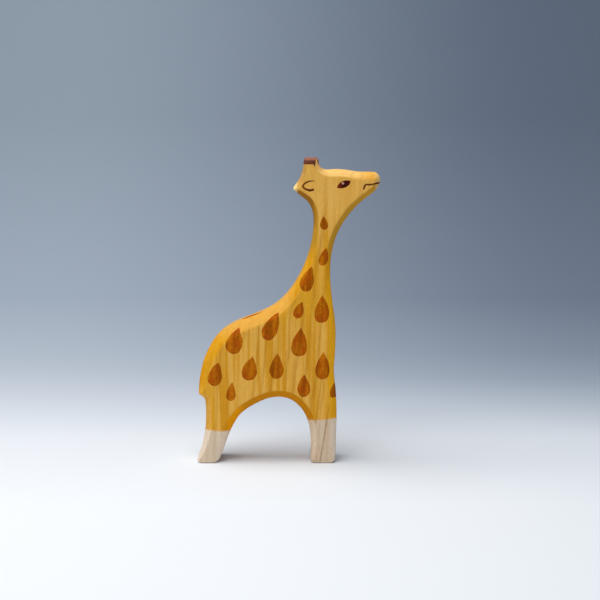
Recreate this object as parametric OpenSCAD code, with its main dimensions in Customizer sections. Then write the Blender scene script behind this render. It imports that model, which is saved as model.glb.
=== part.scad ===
// Giraffe in profile, carved from one board, with painted marks.
// X runs from the rump to the muzzle, Y across the board and Z up.
// The origin is on the ground, below the middle of the outline's length.
// The giraffe's right side faces -Y.

/* [Board] */
// Height from the soles to the top of the horns
giraffe_h = 180; // [150:1:216]
// Thickness of the board
board_t = 24; // [20:0.5:30]

/* [Rounded edges] */
// Widest rounding of an edge, seen from the side, at the rump
edge_w = 5.6; // [4:0.1:6.6]
// Rounding along the soles, the narrowest
sole_edge_w = 1.2; // [0.8:0.1:1.8]
// Depth of the rounding across the board, as a share of its width
edge_steepness = 0.85; // [0.6:0.05:1]
// Share of flat bevel in the rounding, the rest being an ellipse
edge_flatness = 0.75; // [0.2:0.05:0.8]

/* [Paint] */
// Thickness of a coat of paint
coat_t = 0.15; // [0.1:0.01:0.3]
// Size of the brown drops
drop_size = 1; // [0.8:0.05:1.1]
// How far the brown comes down the horns
horn_cap_h = 3.6; // [2.5:0.1:5]
// Width of the painted lines of the mouth and ears
line_w = 0.9; // [0.6:0.05:1.3]

/* [Hidden] */
design_h = 180; // the outline and the marks below are drawn at this height
k = giraffe_h / design_h;
steps = 3; // samples in each span between two knots
bevel_rows = 4; // facets across each rounded edge
side_y = board_t / 2;
overshoot = 1; // how far a cutter runs past what it cuts

// The outline, anticlockwise, as runs that meet in corners. A knot is [x, z, how full the edge is
// rounded, from 0 as on a sole to 1 as on the rump], and each run is a smooth curve through its knots.
// Runs that meet are equally full where they meet.
HIND_SOLE = [[-52.4, 0, 0], [-43.6, 0, 0]];
BELLY = [
    [-43.6, 0, 0], [-40.8, 1.8, 0.3], [-39.2, 5.6, 0.5], [-37.1, 11, 0.6], [-34.9, 16.9, 0.65],
    [-32.3, 22.8, 0.75], [-28.6, 28.5, 0.78], [-23.4, 32.8, 0.78], [-17.3, 36.2, 0.78],
    [-11.2, 38.6, 0.78], [-5, 39.4, 0.78], [0.9, 38.2, 0.78], [5.8, 34.8, 0.78], [9.6, 30, 0.75],
    [12.2, 24, 0.65], [13.4, 17.2, 0.5], [13.8, 10.5, 0.4], [13.8, 5, 0.2], [13.5, 1.5, 0]
];
FRONT_INSTEP = [[13.5, 1.5, 0], [14.8, 0, 0]];
FRONT_SOLE = [[14.8, 0, 0], [26.2, 0, 0]];
FRONT_TOE = [[26.2, 0, 0], [28, 1.9, 0]];
CHEST = [
    [28, 1.9, 0], [28.4, 7, 0.3], [28.6, 15, 0.5], [28.9, 24, 0.6], [28.9, 33, 0.65],
    [28.4, 43, 0.68], [27.3, 54, 0.68], [27.8, 65, 0.68], [28.3, 75, 0.68], [27.8, 85, 0.65],
    [26.6, 94, 0.6], [25.5, 103, 0.5], [24.9, 112, 0.42], [25.2, 121.2, 0.4], [26.6, 129.4, 0.42],
    [29.2, 137.2, 0.45], [33.5, 144.6, 0.48], [38.9, 151.4, 0.48], [45.1, 157, 0.45],
    [50.1, 160.8, 0.4], [52.5, 163.9, 0.4], [53.8, 167.1, 0.4]
];
MUZZLE = [[53.8, 167.1, 0.4], [53.4, 169.7, 0.45], [51.7, 171.6, 0.5]];
BROW = [
    [51.7, 171.6, 0.5], [47, 171.7, 0.52], [42, 171.8, 0.55], [37.5, 172.4, 0.58], [32.5, 173.1, 0.58],
    [27.5, 173.3, 0.55], [23.4, 172.9, 0.45], [20.4, 173.5, 0.3], [18.6, 175.6, 0.2], [16.9, 180, 0.1]
];
HORN_TOP = [[16.9, 180, 0.1], [9.9, 180, 0.1]];
EAR_TOP = [
    [9.9, 180, 0.1], [9.2, 176.1, 0.15], [8.4, 171.5, 0.2], [6.4, 166.8, 0.2], [3.3, 162.4, 0.2]
];
NECK_AND_BACK = [
    [3.3, 162.4, 0.2], [7.4, 158.6, 0.35], [11.8, 155, 0.45], [14.5, 149.4, 0.42], [15.2, 142.5, 0.38],
    [14.7, 135.2, 0.38], [13.3, 127.8, 0.42], [11, 120, 0.5], [7.4, 112, 0.6], [2.9, 104.3, 0.72],
    [-2.4, 97.8, 0.85], [-8.8, 92.6, 0.92], [-16.2, 88.9, 0.95], [-25.1, 85.5, 1], [-33.5, 81.6, 1],
    [-40.5, 76.5, 1], [-45.5, 70.1, 1], [-49.2, 62.7, 1], [-51.4, 54.9, 0.95], [-52.5, 47, 0.75],
    [-52.7, 41.2, 0.4]
];
THIGH = [
    [-52.7, 41.2, 0.4], [-50.9, 40.2, 0.5], [-49.2, 38.2, 0.55], [-48.7, 34, 0.55], [-48.6, 28, 0.55],
    [-48.9, 21.4, 0.55], [-50.1, 14.8, 0.5], [-51.5, 8.4, 0.3], [-53.8, 1.6, 0]
];
HEEL = [[-53.8, 1.6, 0], [-52.4, 0, 0]];
RUNS = [
    HIND_SOLE, BELLY, FRONT_INSTEP, FRONT_SOLE, FRONT_TOE, CHEST, MUZZLE, BROW, HORN_TOP, EAR_TOP,
    NECK_AND_BACK, THIGH, HEEL
];
CHEST_RUN = 5;
BROW_RUN = 7;
EAR_RUN = 9;
BACK_RUN = 10;

// The brown drops on each side: [name, x and z of the middle, length, width, lean to the muzzle], and
// for one that runs over a rounded edge, [run, first knot, last knot] of the edge below it.
DROPS = [
    ["throat", 21, 142.9, 7.9, 4.6, -4],
    ["neck_top", 21.2, 123.3, 10.6, 5.4, 13, [CHEST_RUN, 12, 14]],
    ["neck_back", 11.8, 110.1, 15.4, 7.8, 17, [BACK_RUN, 7, 9]],
    ["neck_front", 20, 92.5, 16.4, 8.4, 1, [CHEST_RUN, 9, 11]],
    ["withers", 6.8, 92.1, 10.4, 5.8, 20],
    ["back", -9.2, 82.5, 17.8, 9, 25, [BACK_RUN, 10, 13]],
    ["shoulder", 6.9, 73, 18, 9.2, 6],
    ["croup", -30.8, 73.7, 16, 9.6, 17, [BACK_RUN, 13, 15]],
    ["chest", 20.5, 58.9, 16.8, 8.2, 4, [CHEST_RUN, 5, 7]],
    ["ribs", -6.5, 58.6, 15.5, 8.2, 3],
    ["flank", -22.2, 57.3, 14.8, 8.8, 12],
    ["rump", -42.4, 54.1, 14.8, 8.2, 12, [BACK_RUN, 17, 19]],
    ["elbow", 9.4, 46.9, 13.5, 7.4, 2],
    ["thigh", -33.3, 43.2, 11.4, 5.6, 5]
];
BRISKET_DROP = ["brisket", 27.3, 43.8, 8.6, 4.8, 2, [CHEST_RUN, 4, 6]];
// The drops on the narrow face: [name, run, first and last knot below it, length, width].
EDGE_DROPS = [
    ["breast", CHEST_RUN, 7, 10, 17, 13], ["forearm", CHEST_RUN, 5, 7, 14, 13],
    ["spine", BACK_RUN, 11, 14, 13, 6], ["tail_root", BACK_RUN, 16, 18, 12, 9]
];
DROP_TAPER = 1; // how slim a drop is below its tip
DROP_FULLNESS = 0.65; // brings the widest part of a drop to its width
DROP_POINTS = 36;

// The eye: [x and z of the middle, length, height, tilt], and the glint on it.
EYE = [32.5, 165.2, 8.8, 3.9, 24];
GLINT = [31.9, 165.9, 0.8];
// Painted lines as knots of [x, z, width as a share of line_w].
EAR_LINE = [
    [14.2, 166.9, 0.6], [11.8, 166.8, 0.9], [9.6, 165.7, 1.1], [9.1, 164.2, 1.2], [10.2, 162.7, 1.2],
    [12.6, 162.1, 1.3], [15.6, 162.9, 1.1]
];
LIP_LINE = [[44.6, 164.7, 1], [46.6, 164.8, 1], [49.2, 165.3, 0.9], [51.6, 165.9, 0.8]];
MOUTH_CORNER = [[44.7, 165.1, 1], [44.3, 163.5, 0.9], [43.7, 162, 0.6]];
MOUTH_FRONT_Z = 165.8;
MOUTH_FRONT_SHARE = 0.8; // width of the line round the muzzle, as a share of line_w
MOUTH_KNOTS = [19, 21];
HORN_FRONT_KNOT = 7; // the first knot of the brow below the dark horn tips
HORN_BACK_KNOT = 2; // the last knot of the ear below them

SIDES = [["right", 0], ["left", 1]];

// ---- curves ----

// A knot before the first or after the last continues the run straight.
function knot(run, i) =
    i < 0 ? 2 * run[0] - run[1]
    : i >= len(run) ? 2 * run[len(run) - 1] - run[len(run) - 2]
    : run[i];

function spline(run, t) = let (
    i = max(0, min(floor(t), len(run) - 2)),
    u = t - i,
    a = knot(run, i - 1),
    b = knot(run, i),
    c = knot(run, i + 1),
    d = knot(run, i + 2)
) (2 * b + (c - a) * u + (2 * a - 5 * b + 4 * c - d) * u * u + (3 * b - a - 3 * c + d) * u * u * u) / 2;

function scaled(p) = [p[0] * k, p[1] * k];
function place(run, t) = scaled(spline(run, t));
function speed(run, t) = (place(run, t + 0.01) - place(run, t - 0.01)) / 0.02;
function along(run, t) = let (v = speed(run, t)) v / norm(v);
function inward(run, t) = let (v = along(run, t)) [-v[1], v[0]];
function width(run, t) = sole_edge_w + (edge_w - sole_edge_w) * max(0, min(1, spline(run, t)[2]));

// ---- the rounded edge ----

// Row r of the edge, from the right face's rim at 0 to the left face's rim at the last.
LAST_ROW = 2 * bevel_rows + 1;
function turn(r) = 90 * (r <= bevel_rows ? bevel_rows - r : r - bevel_rows - 1) / bevel_rows;
function row_side(r) = r <= bevel_rows ? -1 : 1;
function row_in(r) = edge_flatness * turn(r) / 90 + (1 - edge_flatness) * (1 - cos(turn(r)));
function row_rise(r) = edge_flatness * turn(r) / 90 + (1 - edge_flatness) * sin(turn(r));

// The corner between two runs, moved in by each run's own inset.
function mitre(a, b, share) = let (
    n1 = inward(a, len(a) - 1),
    n2 = inward(b, 0),
    d1 = width(a, len(a) - 1) * share,
    d2 = width(b, 0) * share,
    det = n1[0] * n2[1] - n1[1] * n2[0]
) abs(det) < 0.03 ? (n1 * d1 + n2 * d2) / 2 : [d1 * n2[1] - d2 * n1[1], n1[0] * d2 - n2[0] * d1] / det;

// Where sample t goes on a row: the mitres cut both ends, and a long run gives way near them only.
NEAR_END = 3;
function pulled(t, last, cut0, cut1) =
    last < 2 * NEAR_END ? cut0 + (last - cut0 - cut1) * t / last
    : t < NEAR_END ? cut0 + (NEAR_END - cut0) * t / NEAR_END
    : t > last - NEAR_END ? last - cut1 - (NEAR_END - cut1) * (last - t) / NEAR_END
    : t;

function inset_point(run, t, share) = place(run, t) + inward(run, t) * width(run, t) * share;

// Points of one run on row r: [x, z, depth of the rounding there].
function run_row(i, r) = let (
    run = RUNS[i],
    before = RUNS[(i + len(RUNS) - 1) % len(RUNS)],
    after = RUNS[(i + 1) % len(RUNS)],
    last = len(run) - 1,
    share = row_in(r),
    m0 = mitre(before, run, share),
    m1 = mitre(run, after, share),
    cut0 = max(0, m0 * along(run, 0)) / norm(speed(run, 0)),
    cut1 = max(0, -m1 * along(run, last)) / norm(speed(run, last)),
    miss0 = place(run, 0) + m0 - inset_point(run, cut0, share),
    miss1 = place(run, last) + m1 - inset_point(run, last - cut1, share)
) [
    for (j = [0:last * steps - 1])
        let (
            t = j / steps,
            q = pulled(t, last, cut0, cut1),
            fade0 = pow(max(0, 1 - t), 2),
            fade1 = pow(max(0, 1 - (last - t)), 2),
            p = inset_point(run, q, share) + miss0 * fade0 + miss1 * fade1
        ) [p[0], p[1], edge_steepness * width(run, q)]
];

function row_points(r) = [
    for (i = [0:len(RUNS) - 1], p = run_row(i, r))
        [p[0], row_side(r) * (side_y - p[2] * (1 - row_rise(r))), p[1]]
];

// Number of the sample at knot n of run i.
function spans(i) = i == 0 ? 0 : spans(i - 1) + len(RUNS[i - 1]) - 1;
function sample(i, n) = (spans(i) + n) * steps;
SAMPLES = sample(len(RUNS), 0);

// ---- flat faces ----

function twice_area(a, b, c) = (b[0] - a[0]) * (c[1] - a[1]) - (b[1] - a[1]) * (c[0] - a[0]);
function holds(a, b, c, p) =
    twice_area(a, b, p) > -1e-7 && twice_area(b, c, p) > -1e-7 && twice_area(c, a, p) > -1e-7;
function is_clear(points, ids, n, i) = let (
    a = points[ids[(i + n - 1) % n]],
    b = points[ids[i]],
    c = points[ids[(i + 1) % n]]
) twice_area(a, b, c) > 1e-6 && len([
    for (j = [2:n - 2])
        let (p = points[ids[(i + j) % n]])
            if (holds(a, b, c, p)) 1
]) == 0;

// The ear with the shortest cut, so that no long slivers are left.
function best_ear(points, ids, n, i, best, best_cut) =
    i == n ? best
    : let (cut = norm(points[ids[(i + n - 1) % n]] - points[ids[(i + 1) % n]]))
        cut < best_cut && is_clear(points, ids, n, i)
            ? best_ear(points, ids, n, i + 1, i, cut)
            : best_ear(points, ids, n, i + 1, best, best_cut);

// Triangles that fill an anticlockwise outline.
function fill(points, ids, done = []) = let (n = len(ids))
    n == 3 ? concat(done, [ids])
    : let (e = best_ear(points, ids, n, 0, 0, 1e9))
        fill(
            points,
            [for (j = [0:n - 1]) if (j != e) ids[j]],
            concat(done, [[ids[(e + n - 1) % n], ids[e], ids[(e + 1) % n]]])
        );

// ---- the wood ----

module carved_body() {
    rows = [for (r = [0:LAST_ROW]) row_points(r)];
    n = SAMPLES;
    rim = [for (p = rows[0]) [p[0], p[2]]];
    faces = fill(rim, [for (j = [0:n - 1]) j]);
    skin = [
        for (r = [0:LAST_ROW - 1], j = [0:n - 1])
            let (a = r * n + j, b = r * n + (j + 1) % n)
                for (f = [[a, b, b + n], [a, b + n, a + n]]) f
    ];
    right_face = [for (f = faces) [f[0], f[2], f[1]]];
    left_face = [for (f = faces) [f[0], f[1], f[2]] + LAST_ROW * n * [1, 1, 1]];
    color("goldenrod")
        polyhedron(points = [for (row = rows, p = row) p], faces = concat(skin, right_face, left_face));
}

// ---- coats of paint ----

// A coat over samples first to last and rows low to high of the rounded edge.
module edge_coat(first, last, low = 0, high = LAST_ROW) {
    rows = [for (r = [low:high]) row_points(r)];
    rim = row_points(bevel_rows);
    rows_n = high - low + 1;
    cols_n = last - first + 1;
    function outward(j) = let (v = rim[(j + 1) % SAMPLES] - rim[j - 1], s = norm(v)) [v[2] / s, 0, -v[0] / s];
    function lift(r, j) = outward(j) * cos(turn(r)) + [0, row_side(r) * sin(turn(r)), 0];
    wood = [for (r = [low:high], j = [first:last]) rows[r - low][j]];
    face = [for (r = [low:high], j = [first:last]) rows[r - low][j] + coat_t * lift(r, j)];
    shift = rows_n * cols_n;
    function at(r, c, up = 0) = r * cols_n + c + up * shift;
    sheet = [
        for (r = [0:rows_n - 2], c = [0:cols_n - 2])
            for (f = [
                [at(r, c, 1), at(r, c + 1, 1), at(r + 1, c + 1, 1)],
                [at(r, c, 1), at(r + 1, c + 1, 1), at(r + 1, c, 1)],
                [at(r, c), at(r + 1, c + 1), at(r, c + 1)],
                [at(r, c), at(r + 1, c), at(r + 1, c + 1)]
            ]) f
    ];
    function wall(a, b) = [[a, b, b + shift], [a, b + shift, a + shift]];
    rims = concat(
        [for (c = [0:cols_n - 2], f = wall(at(0, c), at(0, c + 1))) f],
        [for (c = [0:cols_n - 2], f = wall(at(rows_n - 1, c + 1), at(rows_n - 1, c))) f],
        [for (r = [0:rows_n - 2], f = wall(at(r + 1, 0), at(r, 0))) f],
        [for (r = [0:rows_n - 2], f = wall(at(r, cols_n - 1), at(r + 1, cols_n - 1))) f]
    );
    polyhedron(points = concat(wood, face), faces = concat(sheet, rims));
}

module on_side(side) {
    mirror([0, side, 0])
        translate([0, -side_y, 0])
            rotate([90, 0, 0])
                children();
}

// A drop with its tip up and its middle at the origin.
function drop_outline(length, width) = [
    for (i = [0:DROP_POINTS - 1])
        let (t = 360 * i / DROP_POINTS)
            [-width * DROP_FULLNESS * sin(t) * pow(sin(t / 2), DROP_TAPER), length / 2 * cos(t)]
];

module drop(length, width) polygon(drop_outline(length * k * drop_size, width * k * drop_size));

module placed_drop(d)
    translate([d[1], d[2]] * k)
        rotate(-d[5])
            drop(d[3], d[4]);

module flat_face() polygon([for (p = row_points(0)) [p[0], p[2]]]);

module on_rounded_edge(d)
    intersection() {
        edge_coat(sample(d[6][0], d[6][1]), sample(d[6][0], d[6][2]), 0, bevel_rows);
        translate([0, overshoot, 0])
            rotate([90, 0, 0])
                linear_extrude(side_y + 2 * overshoot)
                    placed_drop(d);
    }

module side_drop(side, d) {
    color("saddlebrown")
        if (len(d) == 6)
            on_side(side)
                linear_extrude(coat_t)
                    placed_drop(d);
        else {
            on_side(side)
                linear_extrude(coat_t)
                    intersection() {
                        placed_drop(d);
                        flat_face();
                    }
            mirror([0, side, 0])
                on_rounded_edge(d);
        }
}

module brisket_drop(side) {
    color("saddlebrown")
        mirror([0, side, 0])
            on_rounded_edge(BRISKET_DROP);
}

// A drop on the narrow face, square to the outline below its middle.
module edge_drop(d) {
    run = RUNS[d[1]];
    middle = (d[2] + d[3]) / 2;
    p = place(run, middle);
    v = along(run, middle);
    tip_up = v[1] > 0 ? 0 : 180;
    color("saddlebrown")
        intersection() {
            edge_coat(sample(d[1], d[2]), sample(d[1], d[3]), 1, LAST_ROW - 1);
            translate([p[0], 0, p[1]])
                rotate([0, atan2(v[0], v[1]), 0])
                    rotate([0, 90, 0])
                        linear_extrude(side_y, center = true)
                            rotate(90 + tip_up)
                                drop(d[4], d[5]);
        }
}

// A closed outline round a painted line of changing width.
function line_outline(knots) = let (
    n = (len(knots) - 1) * steps,
    mid = [for (j = [0:n]) spline(knots, j / steps)],
    half = [for (m = mid) line_w * m[2] / 2],
    side_of = [for (j = [0:n]) inward(knots, j / steps)]
) concat(
    [for (j = [0:n]) scaled(mid[j]) - side_of[j] * half[j]],
    [for (j = [n:-1:0]) scaled(mid[j]) + side_of[j] * half[j]]
);

module eye(side) {
    color("#35180c")
        on_side(side)
            linear_extrude(coat_t)
                translate([EYE[0], EYE[1]] * k)
                    rotate(EYE[4])
                        polygon([
                            for (i = [0:DROP_POINTS - 1])
                                let (t = 360 * i / DROP_POINTS)
                                    [cos(t) * EYE[2], sin(t) * pow(abs(sin(t)), 0.5) * EYE[3]] * k / 2
                        ]);
}

module eye_glint(side) {
    color("#e8c8a8")
        on_side(side)
            translate([GLINT[0] * k, GLINT[1] * k, coat_t])
                cylinder(r = GLINT[2] * k, h = coat_t, $fn = 32);
}

module ear_line(side) {
    color("#5a2a10")
        on_side(side)
            linear_extrude(coat_t)
                polygon(line_outline(EAR_LINE));
}

// The mouth is one line from corner to corner, round the front of the muzzle.
module mouth_line() {
    color("#5a2a10") {
        for (side = [0, 1])
            on_side(side)
                linear_extrude(coat_t)
                    intersection() {
                        union() {
                            polygon(line_outline(LIP_LINE));
                            polygon(line_outline(MOUTH_CORNER));
                        }
                        flat_face();
                    }
        intersection() {
            edge_coat(sample(CHEST_RUN, MOUTH_KNOTS[0]), sample(CHEST_RUN, MOUTH_KNOTS[1]));
            translate([0, 0, MOUTH_FRONT_Z * k])
                cube([giraffe_h, board_t * 2, line_w * MOUTH_FRONT_SHARE], center = true);
        }
    }
}

module horn_cap() {
    first = sample(BROW_RUN, HORN_FRONT_KNOT);
    last = sample(EAR_RUN, HORN_BACK_KNOT);
    rim = row_points(0);
    color("#4a2412")
        intersection() {
            union() {
                edge_coat(first, last);
                for (side = [0, 1])
                    on_side(side)
                        linear_extrude(coat_t)
                            polygon([for (j = [first:last]) [rim[j][0], rim[j][2]]]);
            }
            translate([-giraffe_h / 2, -board_t, giraffe_h - horn_cap_h])
                cube([giraffe_h, board_t * 2, horn_cap_h * 2]);
        }
}

// ---- nodes ----

carved_body();
horn_cap();
mouth_line();
for (e = EDGE_DROPS)
    edge_drop(e);
for (s = SIDES) {
    eye(s[1]);
    eye_glint(s[1]);
    ear_line(s[1]);
    brisket_drop(s[1]);
    for (d = DROPS)
        side_drop(s[1], d);
}
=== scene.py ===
import math

import bmesh
import bpy
import numpy as np
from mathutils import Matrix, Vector, noise
from mathutils.bvhtree import BVHTree


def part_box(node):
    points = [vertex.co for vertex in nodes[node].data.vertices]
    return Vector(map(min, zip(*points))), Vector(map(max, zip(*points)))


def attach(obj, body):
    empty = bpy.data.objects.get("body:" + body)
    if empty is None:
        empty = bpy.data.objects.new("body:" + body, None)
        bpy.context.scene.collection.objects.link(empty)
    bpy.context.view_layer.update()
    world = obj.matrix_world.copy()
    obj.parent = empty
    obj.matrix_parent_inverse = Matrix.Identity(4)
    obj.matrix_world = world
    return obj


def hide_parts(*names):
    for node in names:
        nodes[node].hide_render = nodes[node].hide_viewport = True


mm = 0.001

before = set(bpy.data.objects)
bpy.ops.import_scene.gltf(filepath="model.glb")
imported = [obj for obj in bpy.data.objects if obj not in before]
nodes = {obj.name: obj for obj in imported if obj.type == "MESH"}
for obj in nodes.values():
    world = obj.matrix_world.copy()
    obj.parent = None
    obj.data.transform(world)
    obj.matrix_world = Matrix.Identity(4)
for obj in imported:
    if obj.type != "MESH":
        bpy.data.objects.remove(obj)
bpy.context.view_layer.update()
print("stage: frame loaded,", len(nodes), "nodes")


class Sock:  # one output socket, so that shader maths reads as plain sums
    def __init__(self, tree, out):
        self.tree, self.out = tree, out

    def maths(self, operation, other=None, flip=False):
        values = [self, other] if other is not None else [self]
        return self.tree.node("ShaderNodeMath", {"operation": operation},
                              values[::-1] if flip else values)

    def __add__(self, other):
        return self.maths("ADD", other)

    def __radd__(self, other):
        return self.maths("ADD", other)

    def __sub__(self, other):
        return self.maths("SUBTRACT", other)

    def __rsub__(self, other):
        return self.maths("SUBTRACT", other, flip=True)

    def __mul__(self, other):
        return self.maths("MULTIPLY", other)

    def __truediv__(self, other):
        return self.maths("DIVIDE", other)

    def __abs__(self):
        return self.maths("ABSOLUTE")

    def __pow__(self, power):
        return self.maths("POWER", power)


class Shader:  # a material's node tree
    def __init__(self, name):
        self.material = bpy.data.materials.new(name)
        self.material.use_nodes = True
        self.tree = self.material.node_tree
        self.tree.nodes.clear()
        self.bsdf = self.tree.nodes.new("ShaderNodeBsdfPrincipled")
        out = self.tree.nodes.new("ShaderNodeOutputMaterial")
        self.tree.links.new(self.bsdf.outputs["BSDF"], out.inputs["Surface"])

    def fill(self, socket, value):
        if isinstance(value, Sock):
            self.tree.links.new(value.out, socket)
        else:
            socket.default_value = value

    def node(self, kind, settings=None, inputs=(), output=0):
        made = self.tree.nodes.new(kind)
        for key, value in (settings or {}).items():
            if key == "stops":
                self.setStops(made.color_ramp, value)
            else:
                setattr(made, key, value)
        pairs = inputs.items() if isinstance(inputs, dict) else enumerate(inputs)
        for key, value in pairs:
            self.fill(made.inputs[key], value)
        return Sock(self, made.outputs[output])

    def setStops(self, ramp, stops):
        while len(ramp.elements) < len(stops):
            ramp.elements.new(0.5)
        for element, (place, colour) in zip(ramp.elements, stops):
            element.position = place
            element.color = (*colour, 1) if isinstance(colour, tuple) else (colour,) * 3 + (1,)

    def ramp(self, value, stops):
        return self.node("ShaderNodeValToRGB", {"stops": stops}, [value])

    def smooth(self, value, low, high):  # 0 below low, 1 above high, soft between
        return self.node("ShaderNodeMapRange", {"interpolation_type": "SMOOTHSTEP"},
                         {"Value": value, "From Min": low, "From Max": high})

    def blend(self, share, first, second, kind="MIX"):
        return self.node("ShaderNodeMix", {"data_type": "RGBA", "blend_type": kind},
                         {0: share, 6: first, 7: second}, output=2)

    def vector(self, operation, first, second):
        return self.node("ShaderNodeVectorMath", {"operation": operation}, [first, second])

    def clouds(self, where, stretch, detail=2.0, roughness=0.5):  # noise, stretched by x, y and z
        stretched = self.vector("MULTIPLY", where, stretch)
        return self.node("ShaderNodeTexNoise", {},
                         {"Vector": stretched, "Scale": 1.0, "Detail": detail, "Roughness": roughness})

    def split(self, vector):
        parts = self.node("ShaderNodeSeparateXYZ", {}, [vector])
        return [Sock(self, parts.out.node.outputs[i]) for i in range(3)]

    def finish(self, colour, roughness, bumps=(), fixed=None):
        self.fill(self.bsdf.inputs["Base Color"], colour)
        self.fill(self.bsdf.inputs["Roughness"], roughness)
        for name, value in (fixed or {}).items():
            self.bsdf.inputs[name].default_value = value
        normal = None
        for height, distance in bumps:
            links = {"Height": height, "Distance": distance, "Strength": 1.0}
            if normal is not None:
                links["Normal"] = normal
            normal = self.node("ShaderNodeBump", {}, links)
        if normal is not None:
            self.fill(self.bsdf.inputs["Normal"], normal)
        return self.material


def tone(r, g, b):  # a colour from 0 to 255 as seen on screen, to the linear one a shader takes
    def linear(v):
        v /= 255
        return v / 12.92 if v <= 0.04045 else ((v + 0.055) / 1.055) ** 2.4
    return (linear(r), linear(g), linear(b), 1.0)


grain = {
    "heartX": -150.0,        # the pith lies this far behind the rump, in mm
    "heartY": 64.0,
    "ringGap": 5.6,          # from one dark ring to the next across the face
    "lean": 0.1,             # how far the rings lean to the muzzle, per mm of height
    "wander": 9.0,           # how far a ring strays from its circle
    "fibre": 5.5,            # fibres per mm across the grain
}


def woodGrain(shader):  # the place in mm and the parts of the grain there
    coords = shader.node("ShaderNodeTexCoord", {}, [], output=3)
    place = shader.vector("MULTIPLY", coords, (1000.0, 1000.0, 1000.0))
    x, y, z = shader.split(place)
    slow = shader.clouds(place, (0.03, 0.03, 0.01))
    leaned = x - z * grain["lean"]
    dx = leaned - grain["heartX"]
    dy = y - grain["heartY"]
    radius = (dx * dx + dy * dy) ** 0.5 + (slow - 0.5) * grain["wander"]
    wobble = shader.clouds(place, (0.13, 0.13, 0.016), 3.0)
    phase = (radius / grain["ringGap"] + (wobble - 0.5) * 1.5).maths("FRACT")
    late = shader.ramp(phase, [(0.0, 0.5), (0.12, 0.12), (0.4, 0.0), (0.7, 0.25), (0.9, 1.0), (1.0, 0.8)])
    vary = shader.clouds(place, (0.09, 0.09, 0.012), 1.0)
    late = late * shader.smooth(vary, 0.34, 0.66)
    streak = shader.smooth(shader.clouds(place, (grain["fibre"], grain["fibre"], 0.16), 3.0, 0.62), 0.22, 0.8)
    band = shader.clouds(place, (0.36, 0.36, 0.014), 2.0, 0.55)
    blotch = shader.clouds(place, (0.06, 0.06, 0.04), 3.0, 0.55)
    mottle = shader.clouds(place, (1.1, 1.1, 0.5), 3.0, 0.6)
    return {"place": place, "x": x, "y": y, "z": z, "late": late, "streak": streak,
            "band": band, "blotch": blotch, "mottle": mottle}


stain = {
    "light": tone(238, 182, 82),
    "deep": tone(220, 154, 34),
    "ring": tone(182, 120, 24),
    "edge": tone(232, 168, 36),
    "edgeDeep": tone(224, 152, 14),
    "arch": tone(208, 134, 4),
    "archHind": tone(244, 160, 0),
    "breast": tone(248, 178, 26),
    "head": tone(240, 188, 96),
    # painted highlight along the top edge of the head
    "brow": tone(248, 200, 120),
    # painted sheen: the paler, less yellow colour of the edges along the back and the hind thigh
    "back": tone(236, 182, 96),
    # painted shade under the throat
    "throat": tone(194, 144, 44),
    # painted shade under the ear
    "underEarShade": tone(160, 106, 26),
    "paleTip": tone(252, 222, 150),
    "bare": tone(234, 214, 188),
    "bareDeep": tone(216, 188, 156),
    # painted highlight on the bare feet's edges
    "bareEdge": tone(246, 226, 204),
    "bareRing": tone(158, 122, 88),
    "hindLine": 19.6,        # where the bare foot begins, mm above the sole
    "frontLine": 26.4,
    "halfBoard": 12.0,
}


veins = {  # dark rings in the front leg: the top and the foot as (x, z), and the width, in mm
    "foot": ((23.7, 30.2), (19.5, 3.3), 0.75),
    "leg": ((19.8, 49.9), (16.5, 25.9), 0.8),
}


def darkVein(shader, g, top, foot, width):  # one dark ring seen from the side, from top to foot in mm
    lean = (top[0] - foot[0]) / (top[1] - foot[1])
    off = abs(g["x"] - foot[0] - (g["z"] - foot[1]) * lean + (g["mottle"] - 0.5) * 0.5)
    ends = shader.smooth(g["z"], foot[1] - 6, foot[1]) * (1 - shader.smooth(g["z"], top[1], top[1] + 10))
    return (1 - shader.smooth(off, width * 0.25, width)) * ends


zones = {  # where each soft change of the stain and of the painted light and shade begins and ends, in mm along the giraffe or above the soles
    "cutEdge": (0.06, 0.36),      # in from the flat face
    "head": (128.0, 158.0),       # up the neck to the head
    "foot": (24.0, 46.0),
    "neckFrom": (80.0, 96.0),
    "neckTo": (116.0, 140.0),
    "rump": (-50.0, -38.0),
    "breastFront": (20.0, 25.0),
    "breastTop": (104.0, 120.0),
    "backAbove": (72.0, 82.0),
    "backBehind": (-2.0, 6.0),    # along the length
    "thighBehind": (-42.0, -36.0),
    "thighBelow": (34.0, 50.0),
    "archFrom": (-40.0, -34.0),   # along the length
    "archTo": (16.0, 21.0),
    "archHind": (-32.0, -22.0),
    "archBelow": (42.0, 47.0),
    "throatAbove": (118.0, 134.0),
    "throatBelow": (142.0, 147.0),  # leaning with the jaw
    "browAbove": (160.0, 167.0),  # leaning with the brow
    "muzzle": (38.0, 48.0),
    "earAbove": (152.0, 158.0),
    "earBehind": (14.0, 18.0),
    "earBelow": (155.5, 159.5),
    "earTop": (13.0, 17.0),
    "earTip": (4.4, 6.6),
    "earTipAbove": (160.0, 162.5),
    "nose": (49.5, 52.5),
    "paleTipAbove": (150.0, 156.0),
    "frontLeg": (-12.0, -6.0),
    "frontArchSide": (13.0, 18.0),
    "hindArchSide": (-37.0, -33.0),
    "dipLine": (-0.7, 0.8),       # either side of the dipped line
}


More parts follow.
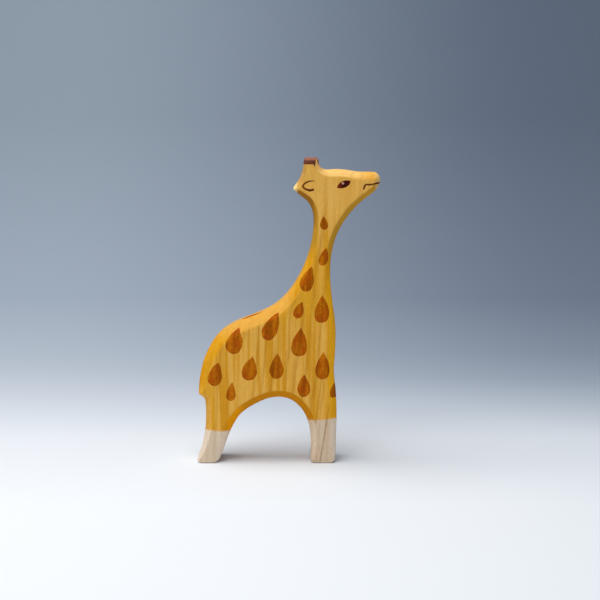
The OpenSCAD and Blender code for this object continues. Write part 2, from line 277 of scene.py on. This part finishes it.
def stainedWood():
    shader = Shader("yellow_stained_wood")
    g = woodGrain(shader)
    x, y, z, late, streak, band, blotch = (g[n] for n in ("x", "y", "z", "late", "streak", "band", "blotch"))
    # the stain lies thin on the flat faces, which were sanded back, and thick on the cut edges
    fromFace = stain["halfBoard"] - abs(y)
    onEdge = shader.smooth(fromFace + (g["mottle"] - 0.5) * 0.12, *zones["cutEdge"])
    thick = shader.smooth(blotch, 0.42, 0.6)
    headShare = shader.smooth(z, *zones["head"])
    footShare = 1 - shader.smooth(z, *zones["foot"])
    calm = late * (1 - headShare * 0.55) * (1 - footShare * 0.6)
    vein = darkVein(shader, g, *veins["foot"])
    vein = vein.maths("MAXIMUM", darkVein(shader, g, *veins["leg"]) * 0.7)
    neckFoot = shader.smooth(z, *zones["neckFrom"]) * (1 - shader.smooth(z, *zones["neckTo"]))
    rumpSide = 1 - shader.smooth(x, *zones["rump"])
    breast = shader.smooth(x, *zones["breastFront"]) * (1 - shader.smooth(z, *zones["breastTop"]))
    faceTone = shader.blend(shader.smooth(band, 0.36, 0.64), stain["light"], stain["deep"])
    headTone = shader.blend(headShare * 0.6, faceTone, stain["head"])
    pooled = (neckFoot * (thick * 0.5 + 0.5) + rumpSide * 0.8 + breast * 0.5).maths("MINIMUM", 1.0)
    pooledTone = shader.blend(pooled, headTone, stain["edge"])
    ringed = shader.blend(calm * 0.5, pooledTone, stain["ring"])
    # the cut edges: deepest under the belly, with painted shade under the throat and a painted highlight
    # along the brow
    edgeTone = shader.blend(shader.smooth(band, 0.35, 0.7), stain["edge"], stain["edgeDeep"])
    edgeBreast = shader.blend(breast, edgeTone, stain["breast"])
    # painted sheen: the edge along the back, facing the lamp above, is painted paler and less yellow, and the
    # hind thigh edge is painted paler with it
    onBack = shader.smooth(z, *zones["backAbove"]) * (1 - shader.smooth(x, *zones["backBehind"]))
    thighSide = (1 - shader.smooth(x, *zones["thighBehind"])) * (1 - shader.smooth(z, *zones["thighBelow"]))
    edgeBackSheen = shader.blend(onBack * 0.45 + thighSide * 0.5, edgeBreast, stain["back"])
    underBelly = shader.smooth(x, *zones["archFrom"]) * (1 - shader.smooth(x, *zones["archTo"]))
    archTone = shader.blend(shader.smooth(x, *zones["archHind"]), stain["archHind"], stain["arch"])
    archShare = underBelly * (1 - shader.smooth(z, *zones["archBelow"]))
    edgeArch = shader.blend(archShare, edgeBackSheen, archTone)
    # painted shade: the edge under the throat, facing down, is painted duller and darker
    belowJaw = 1 - shader.smooth(z - x * 0.45, *zones["throatBelow"])
    underHead = shader.smooth(z, *zones["throatAbove"]) * belowJaw
    edgeThroat = shader.blend(underHead * 0.85, edgeArch, stain["throat"])
    # painted highlight: the top edge of the head, facing the lamp above, is painted paler, less so towards
    # the muzzle
    overHead = shader.smooth(z - x * 0.1, *zones["browAbove"])
    browShare = overHead * (0.9 - shader.smooth(x, *zones["muzzle"]) * 0.5)
    edgeHead = shader.blend(browShare, edgeThroat, stain["brow"])
    # painted shade: the edge under the ear, facing down, is painted dark, and the top edge of the head over
    # the ear is darkened with it
    behindEar = shader.smooth(z + x * 0.9, *zones["earAbove"]) * (1 - shader.smooth(x, *zones["earBehind"]))
    underEarShade = behindEar * (1 - shader.smooth(z - x * 0.75, *zones["earBelow"]))
    earTop = overHead * (1 - shader.smooth(x, *zones["earTop"])) * 0.55
    edgeEar = shader.blend((underEarShade + earTop).maths("MINIMUM", 1.0), edgeHead, stain["underEarShade"])
    # the tip of the ear and the nose are made paler
    earTip = (1 - shader.smooth(x, *zones["earTip"])) * shader.smooth(z, *zones["earTipAbove"])
    tips = earTip + shader.smooth(x, *zones["nose"]) * 0.5
    edgePaleTip = shader.blend(tips * shader.smooth(z, *zones["paleTipAbove"]), edgeEar, stain["paleTip"])
    edgeRinged = shader.blend(late * 0.22, edgePaleTip, stain["ring"])
    stained = shader.blend(onEdge, ringed, edgeRinged)
    veined = shader.blend(vein * 0.5, stained, stain["ring"])
    # the feet are left bare below a dipped line
    isFront = shader.smooth(x, *zones["frontLeg"])
    bareShare = shader.smooth(band, 0.3, 0.7) * 0.6 + isFront * 0.4
    bareTone = shader.blend(bareShare, stain["bare"], stain["bareDeep"])
    bareRinged = shader.blend(calm * 0.35, bareTone, stain["bareRing"])
    # painted light and shade on the bare feet's cut edges: paler on the outer sides, darker on the sides that
    # face the arch between the legs
    frontArchSide = isFront * (1 - shader.smooth(x, *zones["frontArchSide"]))
    archSideShade = frontArchSide + (1 - isFront) * shader.smooth(x, *zones["hindArchSide"])
    bareEdge = shader.blend(archSideShade * 0.8, stain["bareEdge"], stain["bareDeep"])
    bareEdgeLightShade = shader.blend(onEdge * 0.7, bareRinged, bareEdge)
    bare = shader.blend(vein * 0.6, bareEdgeLightShade, stain["bareRing"])
    ragged = shader.clouds(g["place"], (1.4, 1.4, 0.3))
    dipLine = isFront * (stain["frontLine"] - stain["hindLine"]) + stain["hindLine"]
    tilt = (x - 21.0) * isFront * 0.08 - (x + 41.0) * (1 - isFront) * 0.07
    dipped = 1 - shader.smooth(z - dipLine - tilt + (ragged - 0.5) * 1.6, *zones["dipLine"])
    colour = shader.blend(dipped, veined, bare)
    # fine fibres and a soft mottle over everything
    fibres = shader.ramp(streak, [(0.0, 0.86), (0.55, 1.0), (1.0, 1.07)])
    fibred = shader.blend(1.0, colour, fibres, "MULTIPLY")
    patches = shader.ramp(g["mottle"], [(0.3, 0.88), (0.5, 1.0), (0.7, 1.1)])
    mottled = shader.blend(0.5, fibred, patches, "MULTIPLY")
    roughness = 0.58 + (1 - streak) * 0.1 - late * 0.05 + dipped * 0.12
    bumps = [(streak, 0.00003), (late, 0.00004), (g["mottle"], 0.00005)]
    return shader.finish(mottled, roughness, bumps, {"Specular IOR Level": 0.08})


brushed = {
    "light": tone(204, 116, 8),
    "deep": tone(168, 88, 2),
    "red": tone(184, 84, 6),
    "ring": tone(112, 52, 0),
}


def brushedBrown():
    shader = Shader("brown_brushed_stain")
    g = woodGrain(shader)
    plain = shader.blend(shader.smooth(g["band"], 0.38, 0.62), brushed["light"], brushed["deep"])
    patch = shader.clouds(g["place"], (0.3, 0.3, 0.22))
    red = shader.blend(shader.smooth(patch, 0.46, 0.64) * 0.8, plain, brushed["red"])
    ringed = shader.blend(g["late"] * 0.45, red, brushed["ring"])
    pores = shader.clouds(g["place"], (2.6, 2.6, 0.6), 3.0, 0.65)
    fine = shader.blend(shader.smooth(pores, 0.48, 0.68) * 0.7, ringed, brushed["ring"])
    return shader.finish(fine, 0.62 + g["streak"] * 0.1, [(g["streak"], 0.00003)],
                         {"Specular IOR Level": 0.05})


# the pale horn colour is the painted highlight along the top and the colour of the grain's streaks
horn = {"light": tone(104, 48, 26), "deep": tone(78, 32, 12), "highlightAndStreak": tone(176, 112, 88)}


def hornBrown():
    shader = Shader("dark_horn_stain")
    g = woodGrain(shader)
    plain = shader.blend(shader.smooth(g["band"], 0.35, 0.7), horn["light"], horn["deep"])
    paleTip = shader.smooth(g["z"] + (g["mottle"] - 0.5) * 1.0, 178.9, 179.7)  # painted highlight along the top of the horns
    highlightAndStreak = shader.blend(paleTip * 0.6, plain, horn["highlightAndStreak"])
    streaked = shader.blend(g["streak"] * 0.25, highlightAndStreak, horn["highlightAndStreak"])
    return shader.finish(streaked, 0.52 + g["streak"] * 0.12, [(g["streak"], 0.00003)],
                         {"Specular IOR Level": 0.15})


line = {"dark": tone(84, 34, 4), "thin": tone(122, 62, 12)}


def linePaint():
    shader = Shader("brown_line_paint")
    g = woodGrain(shader)
    plain = shader.blend(shader.smooth(g["mottle"], 0.4, 0.66), line["dark"], line["thin"])
    return shader.finish(plain, 0.52 + g["streak"] * 0.15, [(g["streak"], 0.00002)],
                         {"Specular IOR Level": 0.12})


eye = {
    "rim": tone(116, 40, 6),
    "pupil": tone(60, 4, 0),
    "glint": tone(220, 160, 134),
    "glintDim": tone(180, 112, 84),
}


def eyePaint():
    shader = Shader("dark_eye_paint")
    g = woodGrain(shader)
    low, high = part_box("right_eye")
    dx = g["x"] - ((low.x + high.x) / 2 / mm + 0.7)
    dz = g["z"] - ((low.z + high.z) / 2 / mm + 0.2)
    fromPupil = (dx * dx + dz * dz) ** 0.5 + (g["mottle"] - 0.5) * 0.6
    shade = shader.blend(shader.smooth(fromPupil, 1.8, 3.6), eye["pupil"], eye["rim"])
    return shader.finish(shade, 0.45 + g["streak"] * 0.08, [], {"Specular IOR Level": 0.12})


def glintPaint():
    shader = Shader("pale_glint_paint")
    g = woodGrain(shader)
    shade = shader.blend(g["mottle"], eye["glint"], eye["glintDim"])
    return shader.finish(shade, 0.4 + g["streak"] * 0.05, [], {"Specular IOR Level": 0.2})


woodFinish = stainedWood()
markFinish = {"drop": brushedBrown(), "horn": hornBrown(), "line": linePaint(),
              "eye": eyePaint(), "glint": glintPaint()}
print("stage: finishes made")


carving = {
    "voxel": 0.56,           # mm between points of the carved surface
    "softening": 2,          # passes that wear the edges down
    "knifeMarks": 0.14,      # mm, slow unevenness that the knife left on the cut edges
    "faceWaves": 0.04,       # mm, the same on the flat faces
}


def meshObject(name, mesh, finish):
    made = bpy.data.objects.new(name, mesh)
    bpy.context.scene.collection.objects.link(made)
    mesh.materials.clear()
    mesh.materials.append(finish)
    for face in mesh.polygons:
        face.use_smooth = True
    return made


def waviness(p):  # long facets of a knife, and the finer waves of sanding
    facets = noise.noise(Vector((p.x * 0.12, p.y * 0.2, p.z * 0.12 + 7)))
    sanding = noise.noise(Vector((p.x * 0.4, p.y * 0.5, p.z * 0.35 + 31)))
    return facets * 0.8 + sanding * 0.35 - 0.35


def carveBoard():
    rough = bpy.data.objects.new("rough_board", nodes["carved_body"].data.copy())
    bpy.context.scene.collection.objects.link(rough)
    remesh = rough.modifiers.new("even_points", "REMESH")
    remesh.mode = "VOXEL"
    remesh.voxel_size = carving["voxel"] * mm
    soften = rough.modifiers.new("worn_edges", "SMOOTH")
    soften.factor = 0.5
    soften.iterations = carving["softening"]
    graph = bpy.context.evaluated_depsgraph_get()
    mesh = bpy.data.meshes.new_from_object(rough.evaluated_get(graph))
    bpy.data.objects.remove(rough)
    mesh.name = "carved_giraffe"
    low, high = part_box("carved_body")
    points = np.zeros(len(mesh.vertices) * 3, np.float32)
    normals = np.zeros(len(mesh.vertices) * 3, np.float32)
    mesh.vertices.foreach_get("co", points)
    mesh.vertices.foreach_get("normal", normals)
    points, normals = points.reshape(-1, 3), normals.reshape(-1, 3)
    waves = np.array([waviness(Vector(p) / mm) for p in points])
    onFace = np.clip((np.abs(normals[:, 1]) - 0.9) / 0.1, 0, 1)
    depth = carving["knifeMarks"] * (1 - onFace) + carving["faceWaves"] * onFace
    aboveSole = np.clip((points[:, 2] / mm - 0.5) / 1.5, 0, 1)
    points = points + normals * (waves * depth * aboveSole * mm)[:, None]
    points = np.clip(points, np.array(low), np.array(high))
    mesh.vertices.foreach_set("co", points.astype(np.float32).ravel())
    mesh.update()
    return meshObject("carved_giraffe", mesh, woodFinish)


def place(piece, node, slotName):
    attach(piece, "root")
    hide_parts(node)


board = carveBoard()
place(board, "carved_body", "carved_wood")
surface = BVHTree.FromPolygons([v.co.copy() for v in board.data.vertices],
                               [tuple(f.vertices) for f in board.data.polygons])
print("stage: board carved,", len(board.data.polygons), "faces")


coat = {
    "lift": 0.07,            # mm that a mark stands on the wood
    "sink": 0.25,            # mm that its underside lies in the wood
    "reach": 20.0,           # mm from which a mark is dropped onto the wood
    "rings": 12,
    "around": 96,
    "wobble": 0.045,         # how unsteady the brush is, as a share of the drop's size
}
ribbon = (0.1, 0.9, 1, 1, 1, 0.9, 0.1)  # how thick a painted line is, from side to side


def facing(mesh):  # the way a thin coat faces, from its outer skin
    total = Vector()
    for face in mesh.polygons:
        hit, normal, index, far = surface.find_nearest(face.center)
        if normal.dot(face.normal) > 0.6:
            total += face.normal * face.area
    return total.normalized()


def hull(points):  # convex outline, anticlockwise
    points = sorted(set((round(u, 7), round(v, 7)) for u, v in points))

    def half(run):
        chain = []
        for p in run:
            while len(chain) > 1 and (chain[-1][0] - chain[-2][0]) * (p[1] - chain[-2][1]) \
                    <= (chain[-1][1] - chain[-2][1]) * (p[0] - chain[-2][0]):
                chain.pop()
            chain.append(p)
        return chain[:-1]
    return half(points) + half(points[::-1])


def resample(loop, count):  # evenly spaced points round a closed loop
    loop = [Vector(p) for p in loop]
    gaps = [(loop[(i + 1) % len(loop)] - p).length for i, p in enumerate(loop)]
    total, out, i, run = sum(gaps), [], 0, 0.0
    for n in range(count):
        target = total * n / count
        while run + gaps[i] < target:
            run += gaps[i]
            i += 1
        share = (target - run) / gaps[i]
        out.append(loop[i].lerp(loop[(i + 1) % len(loop)], share))
    return out


def layCoat(name, origin, across, up, out, rows, closed, lifts):
    # rows of (u, v) places, seen along -out, dropped on the wood; lifts gives each row's height
    bm = bmesh.new()
    sheets = []
    for side in (0, 1):
        sheet = []
        for row, lift in zip(rows, lifts):
            strip = []
            for u, v in row:
                above = origin + across * u + up * v + out * coat["reach"] * mm
                hit, normal, index, far = surface.ray_cast(above, -out)
                if hit is None:
                    hit, normal, index, far = surface.find_nearest(above - out * coat["reach"] * mm)
                height = lift if side == 0 else -coat["sink"] * mm
                strip.append(bm.verts.new(hit + normal * height))
            sheet.append(strip)
        sheets.append(sheet)
    top, under = sheets

    def quad(a, b, c, d):
        corners = []
        for v in (a, b, c, d):  # a corner that is met twice is left out
            if v not in corners:
                corners.append(v)
        if len(corners) > 2:
            bm.faces.new(corners)

    count = len(rows[0])
    last = len(rows) - 1
    columns = range(count) if closed else range(count - 1)
    for r in range(last):
        for c in columns:
            n = (c + 1) % count
            quad(top[r][c], top[r + 1][c], top[r + 1][n], top[r][n])
            quad(under[r][n], under[r + 1][n], under[r + 1][c], under[r][c])
    for c in columns:
        n = (c + 1) % count
        quad(top[last][c], under[last][c], under[last][n], top[last][n])
        if not closed:
            quad(top[0][n], under[0][n], under[0][c], top[0][c])
    if not closed:
        for r in range(last):
            quad(top[r][0], under[r][0], under[r + 1][0], top[r + 1][0])
            quad(top[r + 1][-1], under[r + 1][-1], under[r][-1], top[r][-1])
    bmesh.ops.remove_doubles(bm, verts=bm.verts, dist=1e-7)
    bmesh.ops.recalc_face_normals(bm, faces=bm.faces)
    mesh = bpy.data.meshes.new(name)
    bm.to_mesh(mesh)
    bm.free()
    return mesh


def axes(out):  # across and up on a surface that faces out
    up = Vector((0, 0, 1)) if abs(out.z) < 0.9 else Vector((-1, 0, 0))
    across = up.cross(out).normalized()
    return across, out.cross(across).normalized()


def layPatch(node, finish, wobble, seed, lift):  # a drop, an eye or a glint: its outline, filled
    mesh = nodes[node].data
    out = facing(mesh)
    if abs(out.y) > 0.9:
        out = Vector((0, math.copysign(1, out.y), 0))
    across, up = axes(out)
    points = [v.co for v in mesh.vertices]
    origin = sum(points, Vector()) / len(points)
    flat = [((p - origin).dot(across), (p - origin).dot(up)) for p in points]
    loop = resample(hull(flat), coat["around"])
    centre = sum(loop, Vector((0, 0))) / len(loop)
    size = max((p - centre).length for p in loop)
    edge = []
    for p in loop:
        arm = (p - centre) / size
        shake = noise.noise(Vector((arm.x * 1.7 + seed, arm.y * 1.7, seed * 3.1)))
        fine = noise.noise(Vector((arm.x * 7 + seed, arm.y * 7, seed * 5.3 + 9)))
        edge.append(centre + (p - centre) * (1 + wobble * (shake * 1.6 + fine * 0.7)))
    shares = [(i / coat["rings"]) ** 0.8 for i in range(coat["rings"] + 1)]
    rows = [[centre.lerp(p, s) for p in edge] for s in shares]
    lifts = [lift * mm * min(1, (1 - s) / 0.06 + 0.15) for s in shares]
    made = layCoat(node + "_coat", origin, across, up, out, rows, True, lifts)
    return meshObject(node + "_coat", made, finish)


def smoothRun(knots, steps):  # a smooth curve through knots
    knots = [Vector(k) for k in knots]
    full = [2 * knots[0] - knots[1]] + knots + [2 * knots[-1] - knots[-2]]
    out = []
    for i in range(1, len(full) - 2):
        a, b, c, d = full[i - 1:i + 3]
        for s in range(steps):
            t = s / steps
            out.append((2 * b + (c - a) * t + (2 * a - 5 * b + 4 * c - d) * t * t
                        + (3 * b - a - 3 * c + d) * t ** 3) / 2)
    return out + [knots[-1]]


def layStroke(name, node, side, knots, width, finish, seed):
    # a brush stroke; knots are (share of the node's length, share of its height, share of the width)
    low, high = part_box(node)
    out = Vector((0, side, 0))
    origin = Vector((0, side * max(abs(low.y), abs(high.y)), 0))
    across, up = Vector((1, 0, 0)), Vector((0, 0, 1))
    run = smoothRun([(low.x + (high.x - low.x) * a, low.z + (high.z - low.z) * b, w)
                     for a, b, w in knots], 8)
    rows = [[] for i in ribbon]
    for i, p in enumerate(run):
        ahead = run[min(i + 1, len(run) - 1)]
        behind = run[max(i - 1, 0)]
        way = Vector((ahead.x - behind.x, ahead.y - behind.y)).normalized()
        sideways = Vector((-way.y, way.x))
        shake = 1 + 0.22 * noise.noise(Vector((i * 0.35, seed, 4.2)))
        end = min(1, (min(i, len(run) - 1 - i) + 0.35) / 2.2) ** 0.5
        half = width * mm * p.z * shake * end / 2
        for r, row in enumerate(rows):
            row.append(Vector((p.x, p.y)) + sideways * half * (r - 3) / 3)
    lifts = [coat["lift"] * mm * h for h in ribbon]
    mesh = layCoat(name, origin, across, up, out, rows, False, lifts)
    return meshObject(name, mesh, finish)


dropNodes = sorted(n for n in nodes if "_drop_" in n)
for index, node in enumerate(dropNodes):
    drop = layPatch(node, markFinish["drop"], coat["wobble"], index * 1.37, coat["lift"])
    place(drop, node, "drop_stain")
print("stage: drops brushed on,", len(dropNodes))


face = {
    "earWidth": 0.92,
    "lipWidth": 1.02,
    "glintLift": 0.15,       # mm that the glint stands on the wood, above the eye
    "frontHeight": 0.97,     # share of the mouth line's height where it rounds the muzzle
    "frontWidth": 0.8,       # share of the lip line's width there
    "frontInset": 1.0,       # mm that it stops short of each face
    "frontSteps": 40,
    "ear": [(1.0, 0.98, 0.45), (0.62, 0.97, 0.8), (0.22, 0.76, 1.0), (0.05, 0.46, 1.1), (0.22, 0.2, 1.2),
            (0.55, 0.06, 1.45), (0.78, 0.08, 1.5), (0.95, 0.16, 1.2)],
    "lip": [(0.135, 0.78, 0.9), (0.3, 0.74, 1.0), (0.55, 0.8, 0.9), (0.8, 0.91, 1.0), (0.93, 0.97, 1.1)],
    "lipCorner": [(0.135, 0.78, 0.9), (0.085, 0.4, 1.2), (0.03, 0.06, 0.8)],
}


def paintFace():
    for side, word in ((-1, "right"), (1, "left")):
        socket = layPatch(word + "_eye", markFinish["eye"], 0.03, 3.3, coat["lift"])
        place(socket, word + "_eye", "eye_paint")
        glint = layPatch(word + "_eye_glint", markFinish["glint"], 0.1, 8.1, face["glintLift"])
        place(glint, word + "_eye_glint", "glint_paint")
        ear = layStroke(word + "_ear_line_coat", word + "_ear_line", side, face["ear"],
                        face["earWidth"], markFinish["line"], 2.0 + side)
        place(ear, word + "_ear_line", "line_paint")


def layMouth():  # the lip line on both faces and round the muzzle, one piece
    low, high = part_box("mouth_line")
    parts = []
    for side in (-1, 1):
        for stroke, seed in (("lip", 5.0), ("lipCorner", 7.0)):
            parts.append(layStroke(stroke, "mouth_line", side, face[stroke], face["lipWidth"],
                                   markFinish["line"], seed))
    out, across, up = Vector((1, 0, 0)), Vector((0, 1, 0)), Vector((0, 0, 1))
    middle = low.z + (high.z - low.z) * face["frontHeight"]
    half = face["lipWidth"] * mm * face["frontWidth"] / 2
    reach = high.y - face["frontInset"] * mm
    steps = face["frontSteps"]
    rows = [[Vector((-reach + 2 * reach * i / steps, middle + half * (r - 3) / 3)) for i in range(steps + 1)]
            for r in range(len(ribbon))]
    lifts = [coat["lift"] * mm * h for h in ribbon]
    mesh = layCoat("lip_front", Vector((high.x, 0, 0)), across, up, out, rows, False, lifts)
    parts.append(meshObject("lip_front", mesh, markFinish["line"]))
    joined = bmesh.new()
    for part in parts:
        joined.from_mesh(part.data)
        bpy.data.objects.remove(part)
    mesh = bpy.data.meshes.new("mouth_line_coat")
    joined.to_mesh(mesh)
    joined.free()
    return meshObject("mouth_line_coat", mesh, markFinish["line"])


paintFace()
place(layMouth(), "mouth_line", "line_paint")
print("stage: face painted")


hornDip = {
    "edge": 0.35,            # mm from the bottom of the painted band's room to its edge
    "ragged": 0.16,          # mm, unevenness of that edge
    "run": 1.5,              # mm, how far a drip runs down
    "runAt": 1.15,           # mm from the front of the horns to the drip
    "runWidth": 0.34,
    "nearFace": 1.6,         # mm from a face where drips and missed places show
    "spare": 2.5,            # mm of wood taken below the band before it is cut
    "missedFrom": 0.55,     # mm from the front of the horns, where the brush missed the bevel
}


def layHornCap():  # the tips of the horns, dipped in dark stain
    low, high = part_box("horn_cap")
    side = max(abs(low.y), abs(high.y))
    bm = bmesh.new()
    bm.from_mesh(board.data)
    below = low.z - hornDip["spare"] * mm
    bmesh.ops.bisect_plane(bm, geom=bm.verts[:] + bm.edges[:] + bm.faces[:], dist=0,
                           plane_co=(0, 0, below), plane_no=(0, 0, 1), clear_inner=True)
    bmesh.ops.subdivide_edges(bm, edges=bm.edges[:], cuts=1, use_grid_fill=True)
    front = max(v.co.x for v in bm.verts if v.co.z > high.z - 0.3 * mm)

    def edgeShift(p):  # how far the painted edge stands above its plain height, in m
        ragged = noise.noise(Vector((p.x * 900, p.y * 700, 2.7))) * hornDip["ragged"]
        nearFace = abs(p.y) > side - hornDip["nearFace"] * mm
        fromFront = (front - p.x) / mm
        drip = math.exp(-((fromFront - hornDip["runAt"]) / hornDip["runWidth"]) ** 2) if nearFace else 0
        missed = max(0.0, min(1.0, (hornDip["missedFrom"] - fromFront) / 0.3)) if nearFace else 0
        return (hornDip["edge"] + ragged - drip * hornDip["run"] + missed * 5) * mm

    for v in bm.verts:
        v.co.z -= edgeShift(v.co)
    bmesh.ops.bisect_plane(bm, geom=bm.verts[:] + bm.edges[:] + bm.faces[:], dist=0,
                           plane_co=(0, 0, low.z), plane_no=(0, 0, 1), clear_inner=True)
    for v in bm.verts:
        v.co.z += edgeShift(v.co)
    bmesh.ops.triangulate(bm, faces=bm.faces)
    bmesh.ops.recalc_face_normals(bm, faces=bm.faces)
    bm.normal_update()
    skin = bm.faces[:]
    copied = bmesh.ops.duplicate(bm, geom=bm.verts[:] + bm.edges[:] + bm.faces[:])
    under = [g for g in copied["geom"] if isinstance(g, bmesh.types.BMFace)]
    underVerts = [g for g in copied["geom"] if isinstance(g, bmesh.types.BMVert)]
    outerVerts = {v for f in skin for v in f.verts}
    moves = {v: v.normal * coat["lift"] * mm for v in outerVerts}
    moves.update({v: -v.normal * coat["sink"] * mm for v in underVerts})
    for v, move in moves.items():
        v.co += move
    for f in under:
        f.normal_flip()
    bmesh.ops.bridge_loops(bm, edges=[e for e in bm.edges if e.is_boundary])
    for v in bm.verts:
        v.co.z = min(v.co.z, high.z)
    mesh = bpy.data.meshes.new("horn_cap_coat")
    bm.to_mesh(mesh)
    bm.free()
    return meshObject("horn_cap_coat", mesh, markFinish["horn"])


place(layHornCap(), "horn_cap", "horn_stain")
edgeNodes = sorted(n for n in nodes if n.startswith("edge_drop_"))
for index, node in enumerate(edgeNodes):
    drop = layPatch(node, markFinish["drop"], coat["wobble"], 60 + index * 1.9, coat["lift"])
    place(drop, node, "drop_stain")
print("stage: horns and narrow-face drops painted")


studio = {
    "sweepStart": 0.26,      # m behind the figure where the paper begins to rise
    "sweepRadius": 0.5,
    "wallHeight": 1.6,
    "paperFront": -1.6,      # m, where the paper begins in front of the figure
    "paperHalf": 2.5,        # m, half its width
    "bends": 24,             # straight steps in the curve of the paper
    # painted light on the paper: its colour by how far back it is, on the bright left and the dim right where
    # the light falls off
    "left": [(0.0, tone(240, 244, 249)), (0.14, tone(232, 236, 242)), (0.22, tone(214, 221, 230)),
             (0.3, tone(200, 208, 219)), (0.4, tone(184, 194, 207)), (0.54, tone(166, 178, 193)),
             (0.95, tone(148, 160, 174))],
    "right": [(0.0, tone(236, 241, 247)), (0.14, tone(222, 228, 236)), (0.22, tone(192, 202, 214)),
              (0.3, tone(168, 179, 195)), (0.4, tone(146, 158, 176)), (0.54, tone(124, 136, 155)),
              (0.95, tone(106, 119, 137))],
}


def sweepPaper():
    profile = [(studio["paperFront"], 0.0), (-0.8, 0.0), (0.0, 0.0), (studio["sweepStart"], 0.0)]
    for i in range(1, studio["bends"] + 1):
        turn = math.pi / 2 * i / studio["bends"]
        profile.append((studio["sweepStart"] + studio["sweepRadius"] * math.sin(turn),
                        studio["sweepRadius"] * (1 - math.cos(turn))))
    profile.append((profile[-1][0], studio["wallHeight"]))
    verts = [(x, y, z - 0.00002) for y, z in profile for x in (-studio["paperHalf"], studio["paperHalf"])]
    faces = [(2 * i, 2 * i + 1, 2 * i + 3, 2 * i + 2) for i in range(len(profile) - 1)]
    mesh = bpy.data.meshes.new("paper_sweep")
    mesh.from_pydata(verts, [], faces)
    shader = Shader("pale_paper")
    coords = shader.node("ShaderNodeTexCoord", {}, [], output=3)
    x, y, z = shader.split(coords)
    tooth = shader.clouds(coords, (900.0, 900.0, 900.0))
    # painted light: darker further back and higher up the wall, and darker to the right
    back = (y + z * 1.4 + 0.1) / 1.1
    bright = shader.ramp(back, [(p, c[:3]) for p, c in studio["left"]])
    dim = shader.ramp(back, [(p, c[:3]) for p, c in studio["right"]])
    lit = shader.blend(shader.smooth(x, -0.25, 0.28), bright, dim)
    shader.finish(lit, 0.85 + tooth * 0.05, [(tooth, 0.00002)], {"Specular IOR Level": 0.05})
    return meshObject("paper_sweep", mesh, shader.material)


def areaLight(name, spot, target, size, power, colour):
    light = bpy.data.lights.new(name, "AREA")
    light.shape = "RECTANGLE"
    light.size, light.size_y = size
    light.energy = power
    light.color = colour
    made = bpy.data.objects.new(name, light)
    made.location = spot
    made.rotation_euler = (Vector(target) - Vector(spot)).to_track_quat("-Z", "Y").to_euler()
    bpy.context.scene.collection.objects.link(made)


lamps = {  # places and sizes in m, power in W
    "overhead_softbox": {"spot": (-0.22, -0.14, 1.0), "target": (0, 0, 0.05), "size": (0.9, 0.7),
                         "power": 10.5, "colour": (1, 0.985, 0.96)},
    "front_fill": {"spot": (-0.5, -1.3, 0.75), "target": (0, 0, 0.09), "size": (1.2, 1.0),
                   "power": 3.0, "colour": (1, 0.99, 0.97)},
}
room = {"colour": (0.86, 0.92, 1.0, 1), "strength": 0.22}

sweepPaper()
for name, lamp in lamps.items():
    areaLight(name, **lamp)

world = bpy.data.worlds.new("soft_room")
world.use_nodes = True
world.node_tree.nodes["Background"].inputs["Color"].default_value = room["colour"]
world.node_tree.nodes["Background"].inputs["Strength"].default_value = room["strength"]
bpy.context.scene.world = world
bpy.context.scene.view_settings.view_transform = "Standard"

cameraAt = {"x": 7.2, "y": -800.0, "z": 207.15, "pitch": 7.894, "lens": 81.79, "sensor": 36.0}


def setCamera():
    data = bpy.data.cameras.new("eye_level")
    data.sensor_width = cameraAt["sensor"]
    data.lens = cameraAt["lens"]
    data.clip_start, data.clip_end = 0.01, 20
    made = bpy.data.objects.new("eye_level", data)
    made.location = (cameraAt["x"] * mm, cameraAt["y"] * mm, cameraAt["z"] * mm)
    made.rotation_euler = (math.radians(90 - cameraAt["pitch"]), 0, 0)
    bpy.context.scene.collection.objects.link(made)
    bpy.context.scene.camera = made


setCamera()
print("stage: light and camera set")
